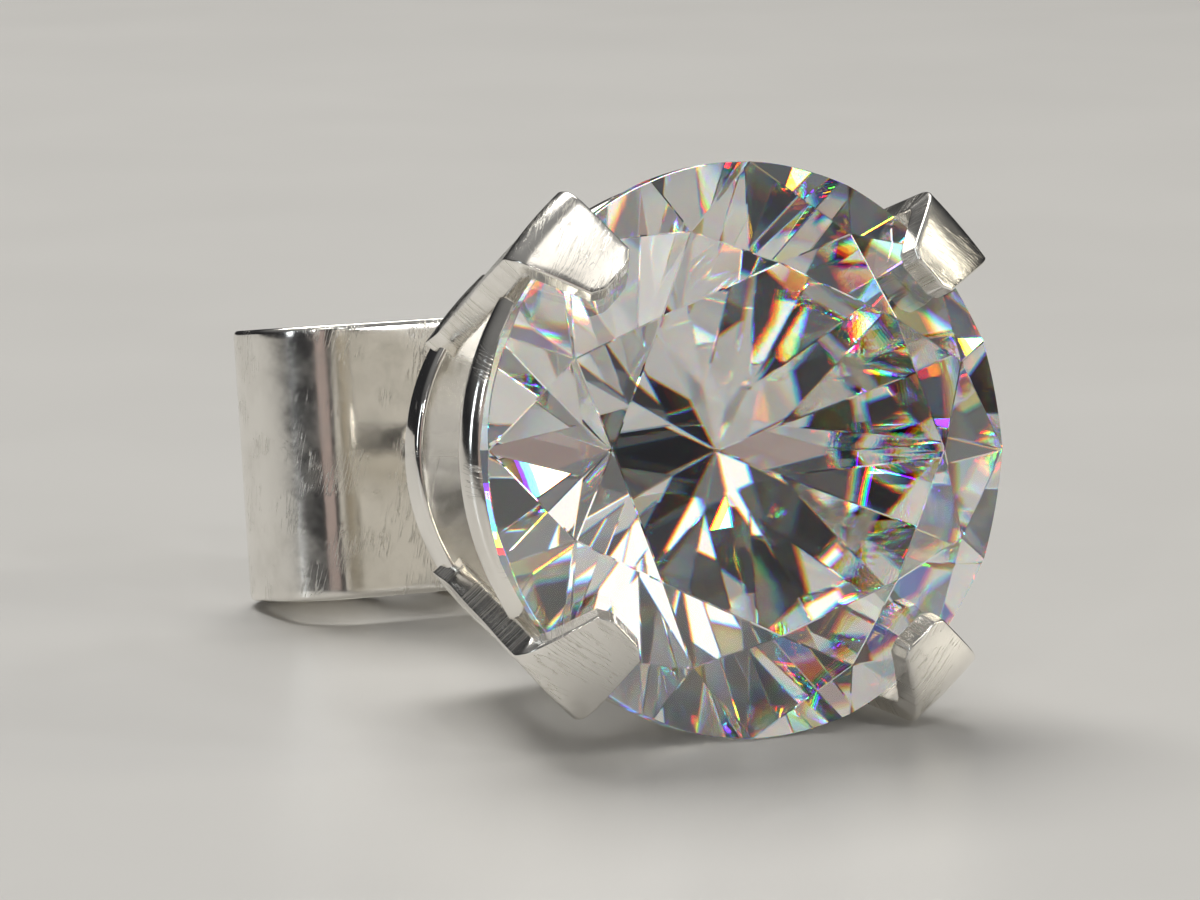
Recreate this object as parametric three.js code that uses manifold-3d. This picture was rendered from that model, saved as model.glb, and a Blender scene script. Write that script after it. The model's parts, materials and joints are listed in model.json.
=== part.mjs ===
// A stud earring: a round brilliant-cut stone in a four-claw basket with a soldered post, and the friction nut
// that closes it. It lies unworn on a flat surface, face towards -Y, on the edge of the stone, one claw and the
// lower edge of the nut.
//
// Millimetres, +Z up. The origin is on the surface, under the middle of the earring's bounding box.
//
// Each piece is first made in the earring's own axes: x to the right and y up as seen from the front, and z out
// of the face, with 0 at the middle of the stone's girdle. What lies behind the girdle has a negative z.

import * as THREE from 'three';
import { LoftGeometry } from 'three/addons/geometries/LoftGeometry.js';
import { mergeVertices } from 'three/addons/utils/BufferGeometryUtils.js';
import Module from 'manifold-3d';

const wasm = await Module();
wasm.setup();

// ---------------------------------------------------------------- driving dimensions

const GAP = 0.1; // between the stone and its metal, and between the post and the nut

const STONE = {
	radius: 4.0,
	tableRatio: 0.64, // table corner to corner, of the diameter
	crownAngle: 32, // degrees, the slope of the kites
	pavilionAngle: 41, // degrees, the slope of the pavilion mains
	girdle: 0.3, // thickness where the kites and the mains meet it
	starRatio: 0.53, // how far the stars reach from the table towards the girdle
	lowerRatio: 0.77, // how far the lower halves reach from the girdle towards the culet
	turn: 1.0, // degrees, the stone's own turn in the basket
};

const CLAW = {
	azimuths: [45.5, 138.5, 227, 312.5], // degrees: bent by hand, each a little off its quarter
	thickness: 0.38,
	width: 1.3,
	footWidth: 1.1,
	taper: 17, // degrees, how fast the claws close in towards the base plate
	foldRadius: 0.25, // at mid thickness
	reach: 1.22, // over the crown, from the fold's corner to the blunt end
	tipWidth: 0.84,
	tipFlat: 0.4, // width of the blunt end between its two cut corners
	tipCut: 0.14, // how far back those corners are cut
	edge: 0.06, // chamfer along the strip
};

const GALLERY = { radius: 3.55, behind: 1.1, wireRadius: 0.3 };
const BASE = { radius: 3.0, behind: 4.5, thickness: 0.5, edge: 0.1 };

const POST = {
	radius: 0.45,
	length: 10,
	fillet: 0.3, // of solder, round its foot
	dome: 0.35,
	grooveFromEnd: 1.4,
	grooveWidth: 0.32,
	grooveDepth: 0.07,
};

const NUT = {
	behind: 10.0, // the face that the earlobe meets
	depth: 2.88,
	span: 5.28, // across the two rolled wings
	width: 4.2, // along the rolls
	sheet: 0.28, // thickness of the strip
	outerBend: 0.95, // at mid thickness, as is the inner bend
	innerBend: 0.45,
	tail: 0.95, // straight end of each wing, beside the post
};

const SIDES = { girdleHalfFacet: 4, gallery: 64, wire: 10, base: 64, post: 32, bend: 6 };

// ---------------------------------------------------------------- solids

/** A closed geometry from flat convex facets, each a list of corners that goes round it anticlockwise. */
function fromFacets(facets) {
	const triangles = facets.flatMap((corners) =>
		corners.slice(2).map((corner, i) => [corners[0], corners[i + 1], corner]));
	const geometry = new THREE.BufferGeometry();
	return geometry.setFromPoints(triangles.flat());
}

/** A closed geometry as a solid that can be joined and cut. */
function toSolid(geometry) {
	const bare = new THREE.BufferGeometry().copy(geometry);
	bare.deleteAttribute('normal');
	bare.deleteAttribute('uv');
	const shape = mergeVertices(bare, 1e-5);
	return new wasm.Manifold(new wasm.Mesh({
		numProp: 3,
		vertProperties: new Float32Array(shape.attributes.position.array),
		triVerts: new Uint32Array(shape.index.array),
	}));
}

function toGeometry(solid) {
	const { vertProperties, triVerts } = solid.getMesh();
	const geometry = new THREE.BufferGeometry();
	geometry.setAttribute('position', new THREE.BufferAttribute(vertProperties, 3));
	geometry.setIndex(new THREE.BufferAttribute(triVerts, 1));
	return geometry;
}

/** A solid turned about the z axis from [radius, z] points that run from its front to its back. */
function turned(profile, sides) {
	const points = profile.map(([radius, z]) => new THREE.Vector2(radius, z)).reverse();
	return new THREE.LatheGeometry(points, sides).rotateX(Math.PI / 2);
}

/** Points on an arc about a centre, both ends included, with angles in degrees. */
function arc([x, y], radius, from, to, steps = SIDES.bend) {
	return Array.from({ length: steps + 1 }, (_, i) => {
		const angle = THREE.MathUtils.degToRad(from + ((to - from) * i) / steps);
		return [x + radius * Math.cos(angle), y + radius * Math.sin(angle)];
	});
}

// ---------------------------------------------------------------- stone

/** A point from its distance to the axis, its azimuth in eighths of a turn, and its height. */
function polar(radius, eighths, z) {
	const angle = (eighths * Math.PI) / 4;
	return new THREE.Vector3(radius * Math.cos(angle), radius * Math.sin(angle), z);
}

/**
 * The facets on one side of the girdle, built as if that side were the front one.
 *
 * Eight mains run from the girdle to an inner corner each, and two half facets lie between neighbouring mains.
 * The halves meet the round girdle in an edge that dips between its corners. The rim is that edge all round.
 */
function cutSide(slopeAngle, innerRadius, meetRadius) {
	const slope = Math.tan(THREE.MathUtils.degToRad(slopeAngle));
	const halfGirdle = STONE.girdle / 2;
	const innerZ = halfGirdle + (STONE.radius - innerRadius) * slope;
	const meetZ = halfGirdle + (STONE.radius - meetRadius * Math.cos(Math.PI / 8)) * slope;
	const inner = (i) => polar(innerRadius, i, innerZ);
	const meet = (i) => polar(meetRadius, i + 0.5, meetZ);
	const corner = (eighths) => polar(STONE.radius, eighths, halfGirdle);

	const mains = [];
	const halves = [];
	const rim = [];
	for (let i = 0; i < 8; i++) {
		mains.push([inner(i), meet(i - 1), corner(i), meet(i)]);
		for (const from of [i, i + 0.5]) {
			const plane = new THREE.Plane().setFromCoplanarPoints(meet(i), corner(from), corner(from + 0.5));
			const edge = Array.from({ length: SIDES.girdleHalfFacet + 1 }, (_, k) => {
				const foot = polar(STONE.radius, from + k / (2 * SIDES.girdleHalfFacet), 0);
				foot.z = -plane.distanceToPoint(foot) / plane.normal.z;
				return foot;
			});
			halves.push([meet(i), ...edge]);
			rim.push(...edge.slice(0, -1));
		}
	}
	return { mains, halves, rim, inner, meet };
}

function makeStone() {
	const tableRadius = STONE.radius * STONE.tableRatio;
	const tableEdge = tableRadius * Math.cos(Math.PI / 8);
	const starRadius = THREE.MathUtils.lerp(tableEdge, STONE.radius, STONE.starRatio);
	const crown = cutSide(STONE.crownAngle, tableRadius, starRadius);
	const pavilion = cutSide(STONE.pavilionAngle, 0, STONE.radius * (1 - STONE.lowerRatio));

	const eighths = Array.from({ length: 8 }, (_, i) => i);
	const table = eighths.map(crown.inner);
	const stars = eighths.map((i) => [crown.inner(i), crown.meet(i), crown.inner(i + 1)]);
	const mirrored = (point) => new THREE.Vector3(point.x, point.y, -point.z);
	const behind = (facet) => facet.map(mirrored).reverse();
	const girdle = crown.rim.map((point, i) => {
		const next = (i + 1) % crown.rim.length;
		return [point, mirrored(pavilion.rim[i]), mirrored(pavilion.rim[next]), crown.rim[next]];
	});
	const facets = [
		table, ...stars, ...crown.mains, ...crown.halves, ...girdle,
		...pavilion.mains.map(behind), ...pavilion.halves.map(behind),
	];
	return toSolid(fromFacets(facets).rotateZ(THREE.MathUtils.degToRad(STONE.turn)));
}

// ---------------------------------------------------------------- setting

/**
 * A flat strip of metal along stations in the x-z plane, as a closed geometry.
 *
 * Each station has a point, a heading and a width. The strip's chamfered section stands square to the heading.
 */
function strip(stations) {
	const halfThickness = CLAW.thickness / 2;
	const sections = stations.map(({ point, heading, width }) => {
		const side = width / 2;
		const { edge } = CLAW;
		const across = [
			[side, halfThickness - edge], [side - edge, halfThickness],
			[edge - side, halfThickness], [-side, halfThickness - edge],
			[-side, edge - halfThickness], [edge - side, -halfThickness],
			[side - edge, -halfThickness], [side, edge - halfThickness],
		];
		return across.map(([y, inward]) =>
			new THREE.Vector3(point.x - heading.y * inward, y, point.y + heading.x * inward));
	});
	return new LoftGeometry(sections, { closed: true, capStart: true, capEnd: true });
}

/** One claw at azimuth 0: a stem from the base plate, a fold over the girdle and a blunt end on the crown. */
function makeClaw() {
	const lean = THREE.MathUtils.degToRad(CLAW.taper);
	const crown = THREE.MathUtils.degToRad(STONE.crownAngle);
	const half = CLAW.thickness / 2;
	const stem = new THREE.Vector2(Math.sin(lean), Math.cos(lean));
	const claw = new THREE.Vector2(-Math.cos(crown), Math.sin(crown));

	// The stem passes beside the girdle and the claw above the kites, each a gap and half a thickness away.
	const beside = new THREE.Vector2(STONE.radius + GAP + half / stem.y, 0);
	const above = new THREE.Vector2(STONE.radius, STONE.girdle / 2)
		.add(new THREE.Vector2(claw.y, -claw.x).multiplyScalar(GAP + half));
	const rise = above.clone().sub(beside).cross(claw) / stem.cross(claw);
	const corner = beside.clone().addScaledVector(stem, rise);

	const bend = claw.angle() - stem.angle();
	const setback = CLAW.foldRadius * Math.tan(bend / 2);
	const foldStart = corner.clone().addScaledVector(stem, -setback);
	const footRise = (BASE.behind + BASE.thickness / 2) / stem.y;
	const fold = Array.from({ length: SIDES.bend + 1 }, (_, i) => {
		const turn = (bend * i) / SIDES.bend;
		const chord = 2 * CLAW.foldRadius * Math.sin(turn / 2);
		const towards = stem.clone().rotateAround(new THREE.Vector2(), turn / 2);
		const heading = stem.clone().rotateAround(new THREE.Vector2(), turn);
		return { point: foldStart.clone().addScaledVector(towards, chord), heading, width: CLAW.width };
	});
	const onCrown = (distance, width) =>
		({ point: corner.clone().addScaledVector(claw, distance), heading: claw, width });
	return strip([
		{ point: beside.clone().addScaledVector(stem, -footRise), heading: stem, width: CLAW.footWidth },
		...fold,
		onCrown(CLAW.reach - CLAW.tipCut, CLAW.tipWidth),
		onCrown(CLAW.reach, CLAW.tipFlat),
	]);
}

function makeGallery() {
	return new THREE.TorusGeometry(GALLERY.radius, GALLERY.wireRadius, SIDES.wire, SIDES.gallery)
		.translate(0, 0, -GALLERY.behind);
}

function makeBase() {
	const { radius, behind, thickness, edge } = BASE;
	const back = behind + thickness;
	return turned([
		[0, -behind], [radius - edge, -behind], [radius, -behind - edge],
		[radius, edge - back], [radius - edge, -back], [0, -back],
	], SIDES.base);
}

function makePost() {
	const { radius, fillet, dome, grooveFromEnd, grooveWidth, grooveDepth } = POST;
	const foot = -BASE.behind - BASE.thickness;
	const end = foot - POST.length;
	const groove = end + grooveFromEnd;
	const profile = [
		[0, foot + BASE.thickness / 2],
		[radius + fillet, foot + BASE.thickness / 2],
		...arc([radius + fillet, foot - fillet], fillet, 90, 180),
		[radius, groove + grooveWidth / 2],
		[radius - grooveDepth, groove + grooveWidth / 4],
		[radius - grooveDepth, groove - grooveWidth / 4],
		[radius, groove - grooveWidth / 2],
		...arc([0, 0], 1, 0, -90).map(([x, y]) => [radius * x, end + dome + dome * y]),
	];
	profile[profile.length - 1][0] = 0;
	return turned(profile, SIDES.post);
}

function makeSetting() {
	const claws = CLAW.azimuths.map((azimuth) => makeClaw().rotateZ(THREE.MathUtils.degToRad(azimuth)));
	return [...claws, makeGallery(), makeBase(), makePost()].map(toSolid).reduce((all, part) => all.add(part));
}

// ---------------------------------------------------------------- nut

/** Half of the nut's strip at mid thickness, from the hole outwards, as points with headings in radians. */
function wingLine() {
	const { depth, span, sheet, outerBend, innerBend, tail } = NUT;
	const quarter = Math.PI / 2;
	const outermost = (span - sheet) / 2;
	const beside = POST.radius + GAP + sheet / 2;
	const moves = [
		{ length: outermost - outerBend, bendAfter: outerBend },
		{ length: depth - sheet - 2 * outerBend, bendAfter: outerBend },
		{ length: outermost - outerBend - innerBend - beside, bendAfter: innerBend },
		{ length: tail },
	];
	const at = new THREE.Vector2(0, sheet / 2);
	const stations = [];
	moves.forEach(({ length, bendAfter }, i) => {
		const heading = i * quarter;
		const ahead = new THREE.Vector2(Math.cos(heading), Math.sin(heading));
		at.addScaledVector(ahead, length);
		if (!bendAfter) {
			stations.push({ point: at.clone(), heading });
			return;
		}
		const left = new THREE.Vector2(-ahead.y, ahead.x);
		const centre = at.clone().addScaledVector(left, bendAfter);
		for (let k = 0; k <= SIDES.bend; k++) {
			const turn = (quarter * k) / SIDES.bend;
			stations.push({ point: at.clone().rotateAround(centre, turn), heading: heading + turn });
		}
		at.rotateAround(centre, quarter);
	});
	return stations;
}

/** The friction nut: a strip with a hole for the post, its two ends rolled in until they stand beside it. */
function makeNut() {
	const wing = wingLine();
	const mirrored = wing.map(({ point, heading }) =>
		({ point: new THREE.Vector2(-point.x, point.y), heading: -heading })).reverse();
	const line = [...mirrored, ...wing];
	const offset = (distance) => line.map(({ point, heading }) =>
		new THREE.Vector2(point.x - Math.sin(heading) * distance, point.y + Math.cos(heading) * distance));
	const outline = [...offset(NUT.sheet / 2), ...offset(-NUT.sheet / 2).reverse()];
	const rolled = new THREE.ExtrudeGeometry(new THREE.Shape(outline), { depth: NUT.width, bevelEnabled: false })
		.translate(0, 0, -NUT.width / 2)
		.rotateX(-Math.PI / 2)
		.translate(0, 0, -NUT.behind);
	const hole = new THREE.CylinderGeometry(POST.radius + GAP, POST.radius + GAP, NUT.depth, SIDES.post)
		.rotateX(Math.PI / 2)
		.translate(0, 0, -NUT.behind);
	return toSolid(rolled).subtract(toSolid(hole));
}

// ---------------------------------------------------------------- rest

/** The turn that stands the earring's axes up: face towards -Y, tilted up, and rolled about its own axis. */
function standing(tilt, roll = 0) {
	return new THREE.Matrix4().makeRotationX(Math.PI / 2 - tilt)
		.multiply(new THREE.Matrix4().makeRotationZ(roll));
}

function lowest(geometry, turn) {
	return new THREE.Box3().setFromBufferAttribute(geometry.clone().applyMatrix4(turn).attributes.position).min.z;
}

/** Where a rising function crosses zero between two values, by halving. */
function crossing(rising, low, high) {
	for (let i = 0; i < 30; i++) {
		const middle = (low + high) / 2;
		if (rising(middle) > 0) high = middle;
		else low = middle;
	}
	return (low + high) / 2;
}

/**
 * How the earring lies: tilted back until the nut meets the surface that the stone stands on, and rolled
 * clockwise, as seen from the front, until the setting meets it too.
 */
function restingTurns({ stone, setting, nut }) {
	const most = THREE.MathUtils.degToRad(20);
	let tilt = 0;
	let roll = 0;
	for (let i = 0; i < 4; i++) {
		const stoneFoot = (t, r) => lowest(stone, standing(t, r));
		tilt = crossing((t) => stoneFoot(t, roll) - lowest(nut, standing(t)), 0, most);
		roll = -crossing((r) => stoneFoot(tilt, -r) - lowest(setting, standing(tilt, -r)), 0, most);
	}
	return { tilt, roll };
}

// ---------------------------------------------------------------- the earring

function piece(name, geometry, material) {
	const mesh = new THREE.Mesh(geometry.toNonIndexed(), new THREE.MeshStandardMaterial(material));
	mesh.geometry.computeVertexNormals();
	mesh.name = name;
	return mesh;
}

const shapes = {
	stone: toGeometry(makeStone()),
	setting: toGeometry(makeSetting()),
	nut: toGeometry(makeNut()),
};
const { tilt, roll } = restingTurns(shapes);

const front = new THREE.Group();
front.rotation.z = roll;
front.add(
	piece('stone', shapes.stone, { color: 0xdedede, roughness: 0.02, metalness: 0, transparent: true, opacity: 0.5 }),
	piece('setting', shapes.setting, { color: 0xe6e3da, roughness: 0.18, metalness: 1 }),
);

const lying = new THREE.Group();
lying.rotation.x = Math.PI / 2 - tilt;
lying.add(front, piece('ear_nut', shapes.nut, { color: 0xdcd9d0, roughness: 0.25, metalness: 1 }));

const earring = new THREE.Group();
earring.add(lying);
const box = new THREE.Box3().setFromObject(earring, true);
const middle = box.getCenter(new THREE.Vector3());
lying.position.set(-middle.x, -middle.y, -box.min.z);

export default earring;
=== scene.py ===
"""A stud earring lying unworn: a brilliant-cut stone in a four-claw silver basket, its post and a nut."""

import json
import logging
import math
from dataclasses import dataclass
from enum import Enum

import bmesh
import bpy
import numpy as np
from bpy.types import Material, Node, NodeSocket, Object, ShaderNodeTree, World
from mathutils import Matrix, Vector


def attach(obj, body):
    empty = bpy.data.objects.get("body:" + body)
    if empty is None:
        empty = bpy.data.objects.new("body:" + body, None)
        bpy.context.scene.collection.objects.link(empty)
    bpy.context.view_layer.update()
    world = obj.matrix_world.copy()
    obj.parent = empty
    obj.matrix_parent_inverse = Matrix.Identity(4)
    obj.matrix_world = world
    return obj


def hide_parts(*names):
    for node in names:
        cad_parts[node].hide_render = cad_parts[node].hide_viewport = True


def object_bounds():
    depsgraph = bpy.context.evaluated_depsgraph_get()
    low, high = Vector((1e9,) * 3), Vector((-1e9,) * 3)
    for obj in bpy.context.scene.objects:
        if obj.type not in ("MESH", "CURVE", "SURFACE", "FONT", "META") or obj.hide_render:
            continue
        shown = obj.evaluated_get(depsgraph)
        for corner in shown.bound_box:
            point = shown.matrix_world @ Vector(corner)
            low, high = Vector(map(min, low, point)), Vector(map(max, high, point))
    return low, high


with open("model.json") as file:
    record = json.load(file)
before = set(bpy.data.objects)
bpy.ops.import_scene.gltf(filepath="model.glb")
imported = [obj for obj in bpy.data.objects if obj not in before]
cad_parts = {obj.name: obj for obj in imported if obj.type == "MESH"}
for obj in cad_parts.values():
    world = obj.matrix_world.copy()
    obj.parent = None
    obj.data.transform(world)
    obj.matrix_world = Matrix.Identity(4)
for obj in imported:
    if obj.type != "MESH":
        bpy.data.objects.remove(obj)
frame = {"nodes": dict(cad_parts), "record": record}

log = logging.getLogger("stud_earring")

MM = 0.001
LEVEL = 1e-6  # metres within which points count as level
BODY = "root"
CAD_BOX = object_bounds()


# ---- where the earring lies


def node_points(name: str) -> np.ndarray:
    """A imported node's vertices, as an (n, 3) array in metres.

    Args:
        name: of the node.

    Returns:
        The array.
    """
    vertices = frame["nodes"][name].data.vertices
    points = np.empty(len(vertices) * 3, np.float32)
    vertices.foreach_get("co", points)
    return points.reshape(-1, 3)


@dataclass(frozen=True)
class Placement:
    """The earring's own axes in the frame: x right, y up and z out of the face, from the girdle's middle.

    Pieces are made in these axes in millimetres, and the matrix takes them to the frame in metres.
    """

    front: Matrix
    nut: Matrix

    @staticmethod
    def _axes(back: np.ndarray, roll: float, origin: np.ndarray) -> Matrix:
        """The matrix of axes that look along back, rolled about it, at origin.

        Args:
            back: unit vector from the face towards the post.
            roll: turn about the axis in radians, anticlockwise as seen from the front.
            origin: the girdle's middle, in metres.

        Returns:
            Millimetres in the earring's axes to metres in the frame.
        """
        right = np.array([1.0, 0.0, 0.0])
        up = np.cross(right, back)
        x = math.cos(roll) * right + math.sin(roll) * up
        y = math.cos(roll) * up - math.sin(roll) * right
        matrix = np.eye(4)
        matrix[:3, :3] = np.column_stack([x, y, -back]) * MM
        matrix[:3, 3] = origin
        return Matrix(matrix.tolist())

    @classmethod
    def from_frame(cls, crown_height: float) -> "Placement":
        """Reads the tilt and the roll from the plate's mount, and the axis from the stone's table.

        Args:
            crown_height: from the girdle's middle to the table, in millimetres.

        Returns:
            The placement of the setting and stone, and that of the nut, which isn't rolled.
        """
        mount = next(m for m in frame["record"]["mounts"] if m["name"] == "plate_back")
        back = np.array(mount["axis"], float)
        back /= np.linalg.norm(back)
        points = np.unique(node_points("stone").astype(float).round(8), axis=0)
        depth = points @ back
        table = points[depth < depth.min() + LEVEL].mean(axis=0)
        offset = np.array(mount["pos_m"]) - table
        offset -= back * (offset @ back)
        up = np.cross([1.0, 0.0, 0.0], back)
        roll = math.atan2(-offset[0], offset @ up)
        origin = table + back * crown_height * MM
        return cls(cls._axes(back, roll, origin), cls._axes(back, 0.0, origin))


# ---- surfaces as arrays


@dataclass
class Surface:
    """Points in millimetres, faces, and what the finishes read: a strip's own map, wear, and recesses that
    get tarnish and painted shade.
    """

    points: np.ndarray
    faces: list
    along: np.ndarray | None = None
    worn: np.ndarray | None = None
    recess_tarnish_and_shade: np.ndarray | None = None


def ring_quads(rows: int, columns: int) -> np.ndarray:
    """Quads of a grid of rows whose columns close into rings.

    Args:
        rows: number of rings.
        columns: points in each ring.

    Returns:
        An array of point indices, four to a face.
    """
    row, column = np.meshgrid(np.arange(rows - 1), np.arange(columns), indexing="ij")
    following = (column + 1) % columns
    this, after = row * columns, (row + 1) * columns
    quads = np.stack([this + column, this + following, after + following, after + column], axis=-1)
    return quads.reshape(-1, 4)


def rounded_section(per_corner: int, per_side: int) -> np.ndarray:
    """Coefficients of a rounded rectangle that goes round anticlockwise.

    A point is x = A (half width - radius) + C radius and y = B (half height - radius) + D radius: A and B
    choose the corner, and C and D go round its quarter circle. Between corners the coefficients are mixed.

    Args:
        per_corner: steps in each corner.
        per_side: steps along each side.

    Returns:
        One row of A, B, C, D for each point.
    """
    signs = np.array([[1, 1], [-1, 1], [-1, -1], [1, -1]], float)
    turn = np.linspace(0, np.pi / 2, per_corner + 1)
    corners = []
    for quarter, sign in enumerate(signs):
        angle = turn + quarter * np.pi / 2
        corners.append(np.column_stack([np.tile(sign, (turn.size, 1)), np.cos(angle), np.sin(angle)]))
    rows = []
    share = (np.arange(1, per_side) / per_side)[:, None]
    for corner, after in zip(corners, corners[1:] + corners[:1]):
        rows += [corner, corner[-1] * (1 - share) + after[0] * share]
    return np.vstack(rows)


def carried_strip(
    centres: np.ndarray,
    headings: np.ndarray,
    half_widths: np.ndarray,
    half_heights: np.ndarray,
    radius: np.ndarray,
    steps: tuple[int, int],
) -> tuple[Surface, np.ndarray, np.ndarray]:
    """A flat strip: a rounded rectangle carried square to a line in the x-z plane, its width along y.

    A point is the line's point, plus its width coordinate along y, plus its height coordinate along the
    heading turned a quarter turn anticlockwise.

    Args:
        centres: (n, 2) points of the line, as x and z.
        headings: (n, 2) unit vectors along it.
        half_widths: (n,) half widths along y.
        half_heights: (n,) half thicknesses.
        radius: (n,) corner radii.
        steps: in each rounded corner and along each flat.

    Returns:
        The closed surface, and the (n, m) width and height coordinates of its points.
    """
    a, b, c, d = rounded_section(*steps).T[:, None, :]
    width = a * (half_widths - radius)[:, None] + c * radius[:, None]
    height = b * (half_heights - radius)[:, None] + d * radius[:, None]
    x = centres[:, :1] - headings[:, 1:] * height
    z = centres[:, 1:] + headings[:, :1] * height
    points = np.stack([x, width, z], axis=-1)
    rows, columns = width.shape
    travelled = np.r_[0, np.cumsum(np.linalg.norm(np.diff(centres, axis=0), axis=1))]
    along = np.stack([width, np.broadcast_to(travelled[:, None], width.shape)], axis=-1)
    faces = [*ring_quads(rows, columns), np.arange(columns)[::-1], (rows - 1) * columns + np.arange(columns)]
    return Surface(points.reshape(-1, 3), faces, along.reshape(-1, 2)), width, height


def turned(profile: np.ndarray, sides: int) -> Surface:
    """A closed solid of revolution about z.

    A point is (radius cos angle, radius sin angle, z) for each point of the profile and each angle. The
    profile's first and last points lie on the axis, and become one point each.

    Args:
        profile: (n, 2) points as radius and z.
        sides: points round the axis.

    Returns:
        The surface.
    """
    angle = np.arange(sides) * 2 * np.pi / sides
    radius, z = profile[1:-1].T[:, :, None]
    ring = np.stack([radius * np.cos(angle), radius * np.sin(angle), z + 0 * angle], axis=-1).reshape(-1, 3)
    poles = np.array([[0, 0, profile[0, 1]], [0, 0, profile[-1, 1]]])
    count = len(ring)
    end = count - sides
    around = np.arange(sides)
    following = np.roll(around, -1)
    first = np.column_stack([np.full(sides, count), following, around])
    last = np.column_stack([np.full(sides, count + 1), end + around, end + following])
    x, y = ring[:, 0], ring[:, 1]
    along = np.column_stack([np.arctan2(y, x) * np.hypot(x, y), ring[:, 2]])
    faces = [*ring_quads(len(profile) - 2, sides), *first, *last]
    return Surface(np.vstack([ring, poles]), faces, np.vstack([along, poles[:, [0, 2]]]))


def unit(value: np.ndarray) -> np.ndarray:
    """Keeps values between 0 and 1."""
    return np.clip(value, 0, 1)


def eased(value: np.ndarray, low: float, high: float) -> np.ndarray:
    """Goes smoothly from 0 at low to 1 at high."""
    t = unit((value - low) / (high - low))
    return t * t * (3 - 2 * t)


def arc(centre: tuple[float, float], radius: float, start: float, end: float, steps: int) -> np.ndarray:
    """Points on an arc, both ends included.

    Args:
        centre: of the arc.
        radius: of the arc.
        start: angle of the first point, in degrees.
        end: angle of the last point, in degrees.
        steps: number of steps between them.

    Returns:
        A (steps + 1, 2) array.
    """
    angle = np.radians(np.linspace(start, end, steps + 1))
    return np.column_stack([centre[0] + radius * np.cos(angle), centre[1] + radius * np.sin(angle)])


def to_mesh(name: str, surface: Surface) -> Object:
    """Makes an object from a surface, still in millimetres, with outward faces.

    Args:
        name: of the object.
        surface: its points, faces and maps.

    Returns:
        The object, linked to the scene.
    """
    mesh = bpy.data.meshes.new(name)
    mesh.from_pydata(surface.points.tolist(), [], [list(map(int, face)) for face in surface.faces])
    for key in ("worn", "recess_tarnish_and_shade"):
        values = getattr(surface, key)
        if values is not None:
            mesh.attributes.new(key, "FLOAT", "POINT").data.foreach_set("value", values.astype(np.float32))
    if surface.along is not None:
        loops = np.empty(len(mesh.loops), np.int32)
        mesh.loops.foreach_get("vertex_index", loops)
        layer = mesh.uv_layers.new(name="along")
        layer.data.foreach_set("uv", surface.along[loops].astype(np.float32).ravel())
    shell = bmesh.new()
    shell.from_mesh(mesh)
    bmesh.ops.recalc_face_normals(shell, faces=shell.faces)
    shell.to_mesh(mesh)
    shell.free()
    thing = bpy.data.objects.new(name, mesh)
    bpy.context.scene.collection.objects.link(thing)
    return thing


def apply_modifiers(thing: Object) -> None:
    """Replaces an object's mesh with what its modifiers make of it."""
    graph = bpy.context.evaluated_depsgraph_get()
    evaluated = thing.evaluated_get(graph)
    made = bpy.data.meshes.new_from_object(evaluated, preserve_all_data_layers=True, depsgraph=graph)
    thing.modifiers.clear()
    thing.data = made


def place_piece(
    thing: Object, matrix: Matrix, material: Material, node: str, smooth_below: float
) -> None:
    """Args:
        thing: the piece, in millimetres.
        matrix: from its axes to the frame.
        material: its finish.
        node: the CAD node that it stands for.
        smooth_below: edges flatter than this many degrees are shaded smooth.
    """
    mesh = thing.data
    mesh.transform(matrix)
    mesh.materials.clear()
    mesh.materials.append(material)
    mesh.polygons.foreach_set("use_smooth", np.ones(len(mesh.polygons), bool))
    mesh.set_sharp_from_angle(angle=math.radians(smooth_below))
    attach(thing, BODY)
    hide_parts(node)
    log.info("%s: %d faces, stands for %s", thing.name, len(mesh.polygons), node)


# ---- finishes


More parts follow.
